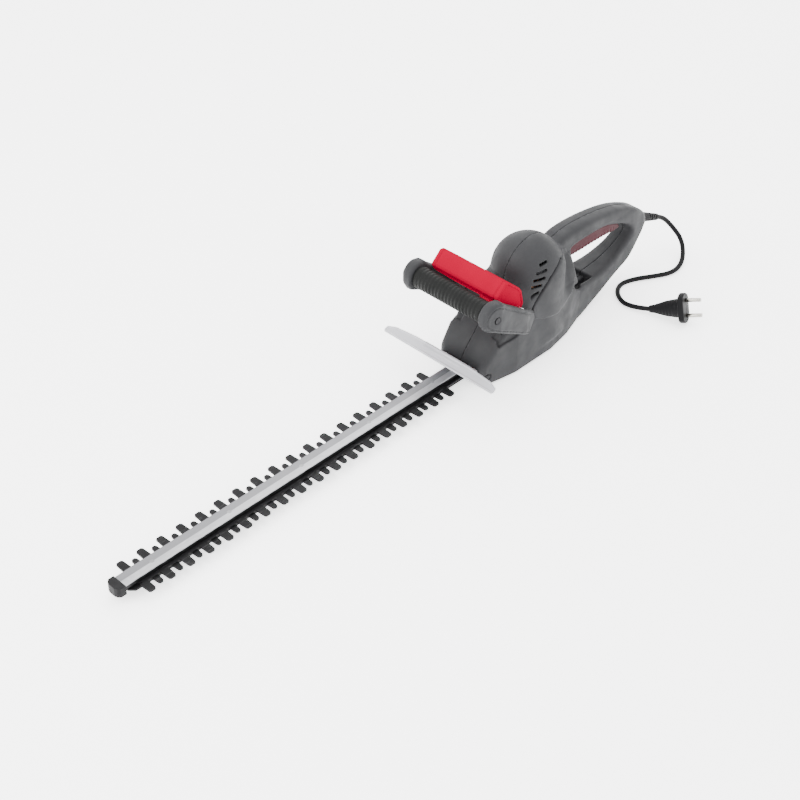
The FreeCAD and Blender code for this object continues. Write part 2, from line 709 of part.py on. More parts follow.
def blades():
    stroke = "crank_throw * 2"
    blade("blade_upper", "upper_blade_base", "0", "long", "first_long_tooth", "long_teeth_per_side",
          f"({stroke} + 3.3)", "3.3")
    blade("blade_lower", "lower_blade_base", f"({stroke})", "short", "first_short_tooth",
          "long_teeth_per_side - 1", "3.3", f"({stroke} + 3.3)")
    con_rod("upper", "14.6", f"{GEAR_CENTRE} - crank_throw", "0",
            "(upper_blade_base + blade_thickness)", "17.6", "upper_blade_base", "17.6")
    con_rod("lower", "5.6", f"{GEAR_CENTRE} + crank_throw", f"({stroke})",
            "5.6", "lower_blade_base", "5.6", "(lower_blade_base + blade_thickness)")


# ---------------------------------------------------------------- guide bar


def guide_bar():
    """The fixed bar over the blades, with a low rib along its left half."""
    body = doc.addObject("PartDesign::Body", "guide_bar_body")
    strip = outline(body_sketch(body, "bar_strip", height="bar_base"), [
        ("bar_rear", "0 - bar_half_width"), ("bar_front", "0 - bar_half_width"),
        ("bar_front", "bar_half_width"), ("bar_rear", "bar_half_width"),
    ])
    pad(body, strip, "bar_thickness")
    rib = outline(body_sketch(body, "bar_rib", height="bar_base + bar_thickness"), [
        ("120", "0.6"), ("bar_front", "0.6"), ("bar_front", "bar_half_width"), ("120", "bar_half_width"),
    ])
    pad(body, rib, "bar_rib_rise")
    bolt_hole = circle(body_sketch(body, "bar_bolt_hole", height="bar_base"), "2.5", "first_blade_bolt")
    holes = pocket(body, bolt_hole, "bar_thickness + bar_rib_rise")
    pattern_x(body, holes, "blade_bolt_spacing", BLADE_BOLT_COUNT).Reversed = False
    ends = circle(body_sketch(body, "bar_end_holes", height="bar_base"), "2", TIP_RIVET)
    for x in BAR_BOLTS:
        circle(ends, "2.5", x)
    body.Tip = pocket(body, ends, "bar_thickness + bar_rib_rise")
    node("guide_bar", body)


def bar_fasteners():
    bolts = []
    for number in range(int(BLADE_BOLT_COUNT)):
        x = f"first_blade_bolt + blade_bolt_spacing * {number}"
        head = cylinder(f"blade_bolt{number}_head", "5.4", "2.9", x, "0", "6.5")
        shoulder = cylinder(f"blade_bolt{number}_shoulder", "blade_bolt_radius", "bar_base - 9.4",
                            x, "0", "9.4")
        thread = cylinder(f"blade_bolt{number}_thread", "2.5", "bar_thickness", x, "0", "bar_base")
        bolts.append(fuse(f"blade_bolt{number}", head, shoulder, thread))
    node("blade_bolts", fuse("blade_bolt_set", *bolts))
    mounts = []
    for number, x in enumerate(BAR_BOLTS):
        head = cylinder(f"bar_bolt{number}_head", "3.8", "2.2", x, "0", "plate_base + plate_thickness")
        stem = cylinder(f"bar_bolt{number}_stem", "2.5", "plate_base + plate_thickness - bar_base",
                        x, "0", "bar_base")
        mounts.append(fuse(f"bar_bolt{number}", head, stem))
    node("bar_mount_bolts", fuse("bar_bolt_set", *mounts))


def tip_cap():
    """A dark nose that sleeves the bar's end, held from below by one rivet."""
    bar_top = "bar_base + bar_thickness + bar_rib_rise"
    nose = prism("cap_nose", "XY", mirrored_plan([
        ("617", "4"), ("615.8", "7.4"), ("613", "10"), ("606.4", "10"),
    ]), f"{bar_top} + 1 - 9", "9")
    bar_way = box("cap_bar_way", "30", "bar_half_width * 2", "bar_thickness + bar_rib_rise",
                  "bar_front - 30", "0", "bar_base")
    rivet_way = cylinder("cap_rivet_way", "2", "bar_base - 6", TIP_RIVET, "0", "6")
    node("tip_cap", cut("cap", nose, bar_way, rivet_way))
    node("tip_cap_rivet", cylinder("cap_rivet", "2", "bar_base + bar_thickness - 8.8", TIP_RIVET, "0", "8.8"))


# ---------------------------------------------------------------- guard


def guard():
    """The pale hand guard: a raked plate with a straight front edge, on a web from the nose."""
    half = [("0", "guard_half_width - 2"), ("-2.5", "guard_half_width"), ("-8", "guard_half_width - 1"),
            ("-12", "guard_half_width - 12"), ("-14.5", "guard_half_width - 42")]
    plate = prism("guard_plate", "XY", mirrored_plan(half), "guard_thickness")
    plate.Base.Placement = Placement(Vector(), Rotation())
    tilted = doc.addObject("Part::Feature", "guard_tilted")
    doc.recompute()
    tilted.Shape = plate.Shape
    place(tilted, "guard_front", "0", "guard_height", Rotation(Vector(0, 1, 0), size("guard_rake")))
    web = prism("guard_web", "XZ", [
        ("nose_front", "21"), ("119", "21"), ("144.5", "49"), ("139.5", "51.5"), ("116", "27"),
        ("nose_front", "26"),
    ], "56", middle=True)
    screws = []
    ways = [guard_screw_ways("guard_way")]
    for side, middle in (("left", "21"), ("right", "-21")):
        ways.append(cylinder(f"guard_sink_{side}", "3.4", "20", "nose_front + 3.4", middle, "23.6", "X"))
        head = cylinder(f"guard_screw_head_{side}", "3.1", "2", "nose_front + 3.4", middle, "23.6", "X")
        stem = cylinder(f"guard_screw_stem_{side}", "1.6", "7.4", "nose_front - 4", middle, "23.6", "X")
        screws.append(fuse(f"guard_screw_{side}", head, stem))
    node("guard", cut("guard_shape", fuse("guard_solid", tilted, web), *ways))
    node("guard_screws", fuse("guard_screw_pair", *screws))


# ---------------------------------------------------------------- front handle and its lever


def handle_arm(side, sign):
    """One arm of the bow: a band that drops back from the crossbar to the casing's flank."""
    band = prism(f"arm_band_{side}", "XZ", [
        ("handle_bar_front - 9.5", "handle_bar_height + 14.1"), ("44", "86"), ("38", "74"), ("58", "61"),
        ("handle_bar_front + 9.5", "handle_bar_height - 14.1"),
    ], "160", middle=True)
    end = cylinder(f"arm_end_{side}", "handle_end_radius", "160", "handle_bar_front", "-80",
                   "handle_bar_height", "Y")
    slab = prism(f"arm_slab_{side}", "XY", [
        ("151", f"{sign}(handle_half_width - 8)"), ("143", f"{sign}(handle_half_width - 2)"),
        ("122", f"{sign}handle_half_width"), ("66", f"{sign}(handle_half_width - 8)"), ("36", f"{sign}47"),
        ("36", f"{sign}body_half_width"), ("60", f"{sign}body_half_width"),
        ("66", f"{sign}(handle_inner_half_width - 0.7)"), ("151", f"{sign}(handle_inner_half_width - 0.7)"),
    ], "150", "30")
    return common(f"arm_{side}", fuse(f"arm_side_{side}", band, end), slab)


def front_handle():
    """The bow handle, its rubber grip sleeve and the screws at the arms' round ends."""
    core = cylinder("crossbar", "9", "handle_inner_half_width * 2", "handle_bar_front",
                    "0 - handle_inner_half_width", "handle_bar_height", "Y")
    ways = []
    screws = []
    for side, sink_start, way_start, screw_start in (("left", "63.5", "48", "63.5"),
                                                     ("right", "-73.5", "-56", "-65.7")):
        ways.append(cylinder(f"handle_sink_{side}", "4.2", "10", "127.5", sink_start, "122.5", "Y"))
        ways.append(cylinder(f"lever_pin_way_{side}", "lever_pin_radius + running_gap", "8",
                             "lever_pivot_front", way_start, "lever_pivot_height", "Y"))
        screws.append(cylinder(f"handle_screw_{side}", "3.6", "2.2", "127.5", screw_start, "122.5", "Y"))
    bow = fuse("bow", core, handle_arm("left", ""), handle_arm("right", "0 - "))
    node("front_handle", cut("front_handle_shape", bow, *ways))
    sleeve = cylinder("sleeve_outer", "grip_sleeve_radius", "100.4", "handle_bar_front", "-50.2",
                      "handle_bar_height", "Y")
    hole = cylinder("sleeve_hole", "9", "104", "handle_bar_front", "-52", "handle_bar_height", "Y")
    node("front_grip", cut("front_grip_sleeve", sleeve, hole))
    node("handle_screws", fuse("handle_screw_pair", *screws))


def front_lever():
    """The red switch bar behind the grip: a hollow wedge with a foot that works the switch."""
    shell = prism("lever_wedge", "XZ", [
        ("112.5", "135.5"), ("96", "151"), ("70", "128.5"), ("64.5", "107"), ("70", "99"), ("79", "99"),
        ("108", "127"),
    ], "lever_half_width * 2", middle=True)
    hollow = prism("lever_hollow", "XZ", [
        ("107", "134"), ("96", "145.5"), ("73.5", "126"), ("69.5", "110"), ("80", "103"),
    ], "lever_half_width * 2 - 8", middle=True)
    foot = box("lever_foot", "8", "14", "38", "67", "0", "70")
    node("front_lever", fuse("lever_shape", cut("lever_shell", shell, hollow, *lever_pin_ways()), foot))
    pins = []
    for side, start in (("left", "45.5"), ("right", "-55")):
        pins.append(cylinder(f"lever_pin_{side}", "lever_pin_radius", "9.5", "lever_pivot_front", start,
                             "lever_pivot_height", "Y"))
    node("lever_pivot_pins", fuse("lever_pin_pair", *pins))


def lever_pin_ways():
    return [cylinder(f"lever_pin_seat_{side}", "lever_pin_radius", "9.5", "lever_pivot_front", start,
                     "lever_pivot_height", "Y") for side, start in (("left", "45.5"), ("right", "-55"))]


# ---------------------------------------------------------------- trigger and electrics


def trigger():
    """The long red trigger under the rear grip, on a cross pin at its front end."""
    paddle = prism("trigger_paddle", "XZ", [
        ("-53", "100"), ("-53", "108.5"), ("-66", "109"), ("-120", "105"), ("-146", "99"), ("-159", "93"),
        ("-164", "87"), ("-160", "83.5"), ("-125", "86"), ("-80", "85.5"), ("-68", "87"), ("-64", "97"),
    ], "trigger_half_width * 2", middle=True)
    eye = cylinder("trigger_eye", "trigger_pin_radius + running_gap", "40", "trigger_pin_front", "-20",
                   "trigger_pin_height", "Y")
    node("trigger", cut("trigger_shape", paddle, eye))
    node("trigger_pin", cylinder("trigger_pin_rod", "trigger_pin_radius", "26", "trigger_pin_front", "-13",
                                 "trigger_pin_height", "Y"))
    coil = cut("trigger_coil", cylinder("trigger_coil_rim", "4.2", "14.4", "-80", "0", "108.4"),
               cylinder("trigger_coil_eye", "3.2", "16", "-80", "0", "108"))
    node("trigger_spring", coil)


def electrics():
    """The two switches, the suppression capacitor and the clamp on the cord's tail."""
    trigger_case = box("trigger_switch_case", "24", "18", "6.4", "-116", "0", "112.8")
    trigger_key = box("trigger_switch_key", "6", "6", "1.6", "-112", "0", "111.2")
    node("trigger_switch", fuse("trigger_switch_solid", trigger_case, trigger_key))
    lever_case = box("lever_switch_case", "20", "18", "14", "38", "0", "60")
    lever_key = box("lever_switch_key", "3.4", "5", "4", "58", "0", "72")
    node("lever_switch", fuse("lever_switch_solid", lever_case, lever_key))
    node("suppression_capacitor", box("capacitor_case", "15", "22", "14", "-31", "0", "9"))
    node("cord_clamp", box("clamp_block", "12", "14", "5", "-200", "0", "64"))


# ---------------------------------------------------------------- cord and plug

# The cord's route from the sleeve's end to the plug's neck, point by point.
CORD_ROUTE = [
    (-253.9, 0, 55.4), (-268.0, 0, 49.1), (-279.0, 8.0, 34.5), (-284.0, 22.0, 19.0), (-272.0, 36.0, 7.5),
    (-252.0, 46.0, 3.2), (-231.0, 47.0, 3.2), (-210.0, 36.0, 3.2), (-189.0, 23.0, 3.2), (-166.0, 16.0, 3.2),
    (-145.0, 28.0, 3.2), (-134.0, 53.0, 3.2), (-145.5, 78.0, 6.9),
]


def rounded_path(points):
    """Straight runs joined by tangent arcs, each as large as its two runs allow."""
    route = [Vector(*point) for point in points]
    edges = []
    radii = []
    here = route[0]
    for before, corner, after in zip(route, route[1:], route[2:]):
        run_in = corner - before
        run_out = after - corner
        turn = run_in.getAngle(run_out)
        trim = 0.45 * min(run_in.Length, run_out.Length)
        radii.append(trim / math.tan(turn / 2))
        arc_start = corner - run_in.normalize() * trim
        arc_end = corner + run_out.normalize() * trim
        middle_way = (arc_start + arc_end) * 0.5 - corner
        centre = corner + middle_way.normalize() * (radii[-1] / math.cos(turn / 2))
        arc_middle = centre + (corner - centre).normalize() * radii[-1]
        edges.append(Part.LineSegment(here, arc_start).toShape())
        edges.append(Part.Arc(arc_start, arc_middle, arc_end).toShape())
        here = arc_end
    edges.append(Part.LineSegment(here, route[-1]).toShape())
    return Part.Wire(edges), radii


def cord(plug_solid):
    """The mains lead as a round tube, trimmed flat against the plug, and its sleeve at the tail."""
    path, radii = rounded_path(CORD_ROUTE)
    radius = size("cord_radius")
    start = Vector(*CORD_ROUTE[0])
    heading = Vector(*CORD_ROUTE[1]) - start
    ring = Part.Wire([Part.makeCircle(radius, start, heading)])
    tube = path.makePipeShell([ring], True, False)
    print("cord length", round(path.Length, 1))
    print("cord bend radii in diameters", [round(bend / radius / 2, 1) for bend in radii])
    print("cord volume ratio", round(tube.Volume / (math.pi * radius ** 2 * path.Length), 4))
    thing = doc.addObject("Part::Feature", "cord_tube")
    thing.Shape = tube
    node("cord", cut("cord_to_plug", thing, plug_solid))
    liner = cylinder("sleeve_liner", "4.4", "14", "tail_rear - 1", "0", "70", "X")
    node("strain_relief", fuse("sleeve", sleeve_cone("sleeve_taper"), liner))


def plug_turn():
    """Local +X runs from the plug's neck to its pins and local +Z across the two pins."""
    axis = Vector(-0.374, 0.882, 0.290)
    lean = 20
    upright = Vector(0, 0, 1) - axis * axis.z
    turn = Rotation(axis, upright.cross(axis), upright, "XZY")
    return Rotation(axis, -lean) * turn


def plug():
    """A two-pin mains plug lying on its flange: a tapered body, a round flange with flats, and pins."""
    taper = cone("plug_taper", "4.4", "11.5", "40", turn=AXIS_TURN["X"])
    disc = cylinder("plug_disc", "18.4", "7", "39", axis="X")
    flats = box("plug_flats", "7", "27", "40", "39", "0", "-20")
    flange = common("plug_flange", disc, flats)
    pins = []
    for side, sign in (("upper", ""), ("lower", "0 - ")):
        pins.append(cylinder(f"plug_pin_{side}", "plug_pin_radius", "19", "46", "0",
                             f"{sign}pin_spacing / 2", "X"))
    neck = CORD_ROUTE[-1]
    solids = {"plug_body": fuse("plug_solid", taper, flange), "plug_pins": fuse("plug_pin_pair", *pins)}
    for name, thing in solids.items():
        node(name, place(thing, str(neck[0]), str(neck[1]), str(neck[2]), plug_turn()))
    return solids["plug_body"]


# ---------------------------------------------------------------- build and export

casing_halves()
casing_screws()
gear_plate()
bottom_cover()
motor_still_parts()
rotor()
gear_and_cranks()
blades()
guide_bar()
bar_fasteners()
tip_cap()
guard()
front_handle()
front_lever()
trigger()
electrics()
cord(plug())
doc.recompute()

for thing in doc.Objects:
    if "Invalid" in thing.State or "Error" in thing.State:
        raise RuntimeError(f"{thing.Name} failed: {thing.State}")
os.makedirs("parts", exist_ok=True)
for thing in nodes:
    if thing.Shape.isNull() or not thing.Shape.isValid():
        raise RuntimeError(f"{thing.Label} has no valid shape")
    thing.Shape.exportStep(f"parts/{thing.Label}.step")
print(len(nodes), "sub-parts written")
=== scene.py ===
import json
import math

import bpy
import numpy as np
from mathutils import Matrix, Vector


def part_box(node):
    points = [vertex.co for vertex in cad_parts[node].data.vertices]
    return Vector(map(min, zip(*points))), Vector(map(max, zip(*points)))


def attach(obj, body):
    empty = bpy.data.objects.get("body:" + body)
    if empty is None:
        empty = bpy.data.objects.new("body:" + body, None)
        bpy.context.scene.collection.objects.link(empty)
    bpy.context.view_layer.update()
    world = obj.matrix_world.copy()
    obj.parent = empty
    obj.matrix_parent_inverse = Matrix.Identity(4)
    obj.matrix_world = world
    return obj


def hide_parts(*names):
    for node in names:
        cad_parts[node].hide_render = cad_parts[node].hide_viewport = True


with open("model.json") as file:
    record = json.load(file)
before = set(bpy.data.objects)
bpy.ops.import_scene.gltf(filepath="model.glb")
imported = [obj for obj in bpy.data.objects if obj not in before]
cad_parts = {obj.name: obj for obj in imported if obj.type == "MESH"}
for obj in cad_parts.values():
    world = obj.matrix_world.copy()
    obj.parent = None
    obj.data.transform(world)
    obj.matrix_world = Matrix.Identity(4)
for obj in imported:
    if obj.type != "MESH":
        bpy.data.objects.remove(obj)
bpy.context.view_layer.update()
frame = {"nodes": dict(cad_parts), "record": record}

# The looks of an electric hedge trimmer, built around its CAD frame.
# Forms are worked out in millimetres in the row frame and turned to metres when a mesh is made.
MM = 0.001


# ---------------------------------------------------------------- camera, floor and light


def look():
    """The camera: its aim, distance and roll give the viewing angle of the picture being matched."""
    azimuth, elevation, roll = (math.radians(angle) for angle in (43.5, 38.8, 0.9))
    target = Vector((0.2028, -0.0078, 0.014))
    distance = 1.855
    back = Vector((math.cos(azimuth) * math.cos(elevation), math.sin(azimuth) * math.cos(elevation),
                   math.sin(elevation)))
    right = Vector((-math.sin(azimuth), math.cos(azimuth), 0))
    up = back.cross(right)
    rolled_right = right * math.cos(roll) + up * math.sin(roll)
    rolled_up = up * math.cos(roll) - right * math.sin(roll)
    data = bpy.data.cameras.new("camera")
    data.lens = 74.25
    data.sensor_width = 36
    data.clip_end = 20
    camera = bpy.data.objects.new("camera", data)
    bpy.context.collection.objects.link(camera)
    turn = Matrix((rolled_right, rolled_up, back)).transposed().to_4x4()
    camera.matrix_world = Matrix.Translation(target + back * distance) @ turn
    bpy.context.scene.camera = camera


def area_light(name, place, aim, width, power, colour=(1, 1, 1)):
    data = bpy.data.lights.new(name, "AREA")
    data.size = width
    data.energy = power
    data.color = colour
    lamp = bpy.data.objects.new(name, data)
    bpy.context.collection.objects.link(lamp)
    lamp.location = place
    lamp.rotation_euler = (Vector(aim) - Vector(place)).to_track_quat("-Z", "Y").to_euler()


# Strength of the light that comes up through the floor, and of the light from all round.
FLOOR_GLOW = 1.6
SKY = 3.4


def studio():
    """A plain pale floor, lit from below like a light table, under soft light from above."""
    half = 6.0
    data = bpy.data.meshes.new("floor")
    corners = [(-half, -half, -0.0003), (half, -half, -0.0003), (half, half, -0.0003), (-half, half, -0.0003)]
    data.from_pydata(corners, [], [(0, 1, 2, 3)])
    floor = bpy.data.objects.new("floor", data)
    bpy.context.collection.objects.link(floor)
    paint = bpy.data.materials.new("floor_paint")
    paint.use_nodes = True
    shader = paint.node_tree.nodes["Principled BSDF"]
    shader.inputs["Base Color"].default_value = (0.93, 0.93, 0.93, 1)
    shader.inputs["Roughness"].default_value = 0.9
    shader.inputs["Specular IOR Level"].default_value = 0.1
    shader.inputs["Emission Color"].default_value = (1, 1, 1, 1)
    shader.inputs["Emission Strength"].default_value = FLOOR_GLOW
    data.materials.append(paint)
    world = bpy.data.worlds.new("studio")
    world.use_nodes = True
    world.node_tree.nodes["Background"].inputs["Color"].default_value = (1, 1, 1, 1)
    world.node_tree.nodes["Background"].inputs["Strength"].default_value = SKY
    bpy.context.scene.world = world
    area_light("key", (2.0, -0.5, 1.5), (0.1, 0, 0.05), 1.6, 62)
    area_light("top", (-0.2, -0.2, 2.2), (0.0, 0, 0.05), 1.8, 30)
    area_light("rim", (-1.4, -1.2, 1.6), (0.0, 0, 0.05), 1.4, 16)


look()
studio()


# ---------------------------------------------------------------- materials


def link(tree, source, output, target, socket):
    tree.links.new(source.outputs[output], target.inputs[socket])


def noise(tree, coordinates, scale, detail=3.0, stretch=None):
    """A noise field in object space, whose scale is in features per metre."""
    texture = tree.nodes.new("ShaderNodeTexNoise")
    texture.inputs["Scale"].default_value = scale
    texture.inputs["Detail"].default_value = detail
    source = coordinates
    output = "Object"
    if stretch:
        mapping = tree.nodes.new("ShaderNodeMapping")
        mapping.inputs["Scale"].default_value = stretch
        link(tree, coordinates, "Object", mapping, "Vector")
        source, output = mapping, "Vector"
    link(tree, source, output, texture, "Vector")
    return texture


def spread(tree, source, low, high, out_low, out_high):
    """Map a value from one range to another."""
    ranger = tree.nodes.new("ShaderNodeMapRange")
    for name, value in (("From Min", low), ("From Max", high), ("To Min", out_low), ("To Max", out_high)):
        ranger.inputs[name].default_value = value
    tree.links.new(source, ranger.inputs["Value"])
    return ranger.outputs["Result"]


def mix(tree, factor, first, second, blend="MIX"):
    mixer = tree.nodes.new("ShaderNodeMix")
    mixer.data_type = "RGBA"
    mixer.blend_type = blend
    tree.links.new(factor, mixer.inputs["Factor"])
    for value, socket in ((first, mixer.inputs[6]), (second, mixer.inputs[7])):
        if isinstance(value, tuple):
            socket.default_value = (*value, 1)
        else:
            tree.links.new(value, socket)
    return mixer.outputs[2]


def material(name, colour, roughness, metallic=0.0, grain=1300, bump=0.25, depth=0.00006, mottle=0.16,
             wear=0.35, wear_colour=None, stretch=None, scratches=0.0, sheen=0.5, transmission=0.0):
    """A surface with mottled colour, a grained bump, uneven gloss, and wear along its edges."""
    made = bpy.data.materials.new(name)
    made.use_nodes = True
    tree = made.node_tree
    shader = tree.nodes["Principled BSDF"]
    shader.inputs["Metallic"].default_value = metallic
    shader.inputs["Specular IOR Level"].default_value = sheen
    shader.inputs["Transmission Weight"].default_value = transmission
    coordinates = tree.nodes.new("ShaderNodeTexCoord")
    broad = noise(tree, coordinates, 28, 4)
    fine = noise(tree, coordinates, grain, 2, stretch)
    dark = tuple(channel * (1 - mottle) for channel in colour)
    light = tuple(min(1, channel * (1 + mottle)) for channel in colour)
    paint = mix(tree, spread(tree, broad.outputs["Fac"], 0.3, 0.7, 0, 1), dark, light)
    geometry = tree.nodes.new("ShaderNodeNewGeometry")
    if wear:
        worn = wear_colour or tuple(min(1, channel * 1.9 + 0.03) for channel in colour)
        edge = spread(tree, geometry.outputs["Pointiness"], 0.52, 0.62, 0, wear)
        patchy = tree.nodes.new("ShaderNodeMath")
        patchy.operation = "MULTIPLY"
        tree.links.new(edge, patchy.inputs[0])
        tree.links.new(spread(tree, noise(tree, coordinates, 160, 4).outputs["Fac"], 0.4, 0.65, 0, 1),
                       patchy.inputs[1])
        paint = mix(tree, patchy.outputs[0], paint, worn)
    if scratches:
        marks = noise(tree, coordinates, 60, 6, (1, 14, 14))
        line = spread(tree, marks.outputs["Fac"], 0.60, 0.64, 0, scratches)
        paint = mix(tree, line, paint, tuple(min(1, channel * 1.6 + 0.05) for channel in colour))
    tree.links.new(paint, shader.inputs["Base Color"])
    smudge = noise(tree, coordinates, 55, 5)
    tree.links.new(spread(tree, smudge.outputs["Fac"], 0.3, 0.7, roughness * 0.82, min(1, roughness * 1.18)),
                   shader.inputs["Roughness"])
    raised = tree.nodes.new("ShaderNodeBump")
    raised.inputs["Strength"].default_value = bump
    raised.inputs["Distance"].default_value = depth
    link(tree, fine, "Fac", raised, "Height")
    link(tree, raised, "Normal", shader, "Normal")
    return made


def masked(name, finish, other, axis, low, high):
    """A copy of a finish that takes another colour below a level along one axis of the row frame, in mm."""
    made = finish.copy()
    made.name = name
    tree = made.node_tree
    shader = tree.nodes["Principled BSDF"]
    coordinates = next(node for node in tree.nodes if node.type == "TEX_COORD")
    parts = tree.nodes.new("ShaderNodeSeparateXYZ")
    link(tree, coordinates, "Object", parts, "Vector")
    above = spread(tree, parts.outputs[axis], low * MM, high * MM, 0, 1)
    paint = shader.inputs["Base Color"].links[0].from_socket
    tree.links.new(mix(tree, above, other, paint), shader.inputs["Base Color"])
    return made


PAINT = {
    "casing": material("casing_plastic", (0.0135, 0.0138, 0.0151), 0.62, grain=1500, bump=0.35, sheen=0.2),
    # The arm is the casing's plastic made a little darker, a painted shade.
    "arm": material("arm_plastic_painted_shade", (0.0125, 0.0128, 0.0140), 0.62, grain=1500, bump=0.35, sheen=0.2),
    "grip": material("grip_rubber", (0.0023, 0.0026, 0.0023), 0.6, grain=900, bump=0.5, wear=0.2, sheen=0.12),
    "red": material("red_plastic", (0.22, 0.0, 0.014), 0.45, grain=700, bump=0.08, mottle=0.06,
                    wear=0.2, wear_colour=(0.25, 0.0, 0.025), sheen=0.0),
    # The trigger's red is deepened to a dark maroon: partly its own colour, partly painted shade from the
    # handle above it.
    "trigger": material("trigger_plastic_painted_shade", (0.028, 0.001, 0.004), 0.5, grain=700, bump=0.08, mottle=0.08,
                        wear=0.2, wear_colour=(0.06, 0.004, 0.01), sheen=0.1),
    "guard": material("guard_plastic", (0.42, 0.42, 0.445), 0.35, grain=500, bump=0.08, mottle=0.05, wear=0,
                      transmission=0.35),
    "bar": material("bar_steel", (0.30, 0.30, 0.31), 0.38, metallic=0.9, grain=2600, bump=0.3, mottle=0.07,
                    stretch=(0.03, 1, 1), scratches=0.3, wear=0.2),
    "blade": material("blade_steel", (0.005, 0.005, 0.0055), 0.45, metallic=0.3, grain=2200, bump=0.3,
                      stretch=(1, 0.05, 1), scratches=0.3, wear=0.35, wear_colour=(0.05, 0.05, 0.052),
                      sheen=0.1),
    "cap": material("cap_plastic", (0.004, 0.004, 0.0045), 0.5, sheen=0.1),
    "fastener": material("zinc_steel", (0.2, 0.2, 0.205), 0.35, metallic=1, mottle=0.1, wear=0.2),
    "black_screw": material("blackened_steel", (0.008, 0.008, 0.009), 0.5, metallic=0.2, mottle=0.1,
                            wear=0.3, sheen=0.1),
    "shaft": material("turned_steel", (0.56, 0.56, 0.58), 0.28, metallic=1, stretch=(1, 1, 0.05),
                      mottle=0.06),
    "gear": material("sintered_steel", (0.42, 0.41, 0.40), 0.48, metallic=1, mottle=0.12),
    "frame_plate": material("die_cast", (0.55, 0.56, 0.58), 0.5, metallic=0.9, grain=700, bump=0.4),
    "lamination": material("lamination_steel", (0.30, 0.31, 0.33), 0.45, metallic=0.9, grain=1600, bump=0.8,
                           stretch=(0.05, 0.05, 1)),
    "winding": material("copper_wire", (0.55, 0.21, 0.07), 0.35, metallic=0.9, grain=1400, bump=0.9,
                        stretch=(0.1, 1, 1)),
    "commutator": material("commutator_copper", (0.62, 0.33, 0.18), 0.3, metallic=1, stretch=(1, 1, 0.05)),
    "carbon": material("carbon", (0.02, 0.02, 0.02), 0.6),
    "inner_plastic": material("inner_plastic", (0.03, 0.03, 0.034), 0.5),
    "fan": material("fan_plastic", (0.05, 0.05, 0.055), 0.45),
    "capacitor": material("capacitor_resin", (0.5, 0.33, 0.06), 0.35),
    "cord": material("cord_rubber", (0.005, 0.005, 0.0055), 0.5, grain=1100, bump=0.25, wear=0.1, sheen=0.05),
    "plug": material("plug_plastic", (0.005, 0.005, 0.0055), 0.45, grain=1200, bump=0.25, wear=0.2,
                     sheen=0.05),
    "plug_pin": material("nickel", (0.3, 0.29, 0.265), 0.22, metallic=1, mottle=0.05),
    "spring": material("spring_wire", (0.5, 0.5, 0.52), 0.3, metallic=1),
}
# The guide bar's right half is painted darker than its left, a painted shade.
PAINT["bar"] = masked("bar_steel_half_painted_shade", PAINT["bar"], (0.15, 0.15, 0.157), "Y", 0.2, 0.8)
# Its sides are painted near black up to just below its top, a painted shade.
PAINT["bar"] = masked("bar_steel_sides_painted_shade", PAINT["bar"], (0.015, 0.015, 0.016), "Z", 18.5, 18.8)

# Nodes whose finish differs from that of their slot.
DARK_SCREWS = {"handle_screws": "black_screw"}


def dress_frame():
    """Give every CAD node its slot's material, and take the hard edge off the plain metal ones."""
    slots = {row["node"]: row["material_slot"] for row in frame["record"]["subparts"]}
    for name, thing in frame["nodes"].items():
        for slot in thing.material_slots:
            slot.link = "OBJECT"
            slot.material = PAINT[DARK_SCREWS.get(name, slots[name])]
    edge_widths = {"guide_bar": 0.35, "blade_upper": 0.3, "blade_lower": 0.3, "tip_cap": 0.35,
                   "tip_cap_rivet": 0.4, "blade_bolts": 0.5, "plug_pins": 0.9, "bottom_cover": 0.5}
    for name, width in edge_widths.items():
        thing = frame["nodes"][name]
        weld = thing.modifiers.new("weld", "WELD")
        weld.merge_threshold = 0.00001
        edge = thing.modifiers.new("edge", "BEVEL")
        edge.width = width * MM
        edge.segments = 2
        edge.limit_method = "ANGLE"
        edge.angle_limit = math.radians(40)


dress_frame()


# ---------------------------------------------------------------- forms as distance fields


def polygon(u, v, corners):
    """Signed distance to a closed polygon in the plane, negative inside."""
    best = np.full(np.broadcast(u, v).shape, 1e9)
    inside = np.zeros(best.shape, bool)
    for (u0, v0), (u1, v1) in zip(corners, corners[1:] + corners[:1]):
        run_u, run_v = u1 - u0, v1 - v0
        part = np.clip(((u - u0) * run_u + (v - v0) * run_v) / (run_u ** 2 + run_v ** 2), 0, 1)
        best = np.minimum(best, (u - u0 - part * run_u) ** 2 + (v - v0 - part * run_v) ** 2)
        if run_v:
            inside ^= ((v0 > v) != (v1 > v)) & (u < u0 + (v - v0) * run_u / run_v)
    return np.where(inside, -1, 1) * np.sqrt(best)


def soften(corners, rounds=2, cut=0.25):
    """Cut a polygon's corners back, round after round, so that it runs in curves."""
    for _ in range(rounds):
        cut_back = []
        for (u0, v0), (u1, v1) in zip(corners, corners[1:] + corners[:1]):
            cut_back.append((u0 + (u1 - u0) * cut, v0 + (v1 - v0) * cut))
            cut_back.append((u1 - (u1 - u0) * cut, v1 - (v1 - v0) * cut))
        corners = cut_back
    return corners


def smooth_max(a, b, blend):
    """The larger of two distances, with the corner between them rounded off."""
    share = np.clip(0.5 + 0.5 * (a - b) / blend, 0, 1)
    return b + (a - b) * share + blend * share * (1 - share)


def smooth_min(a, b, blend):
    return -smooth_max(-a, -b, blend)


def slab(value, low, high):
    """Distance to the band between two values of one coordinate."""
    return np.abs(value - (low + high) / 2) - (high - low) / 2


def block(x, y, z, box_x, box_y, box_z, blend=1.0):
    """Distance to a box given by its ranges, with softened edges."""
    flat = smooth_max(slab(x, *box_x), slab(y, *box_y), blend)
    return smooth_max(flat, slab(z, *box_z), blend)


def rod(u, v, centre, radius):
    """Distance to an endless round rod across the u-v plane."""
    return np.sqrt((u - centre[0]) ** 2 + (v - centre[1]) ** 2) - radius


def upright_capsule(x, y, z, radius, top):
    """Distance to a vertical round post with a domed top, on the motor axis."""
    return np.sqrt(x ** 2 + y ** 2 + np.maximum(z - top, 0) ** 2) - radius


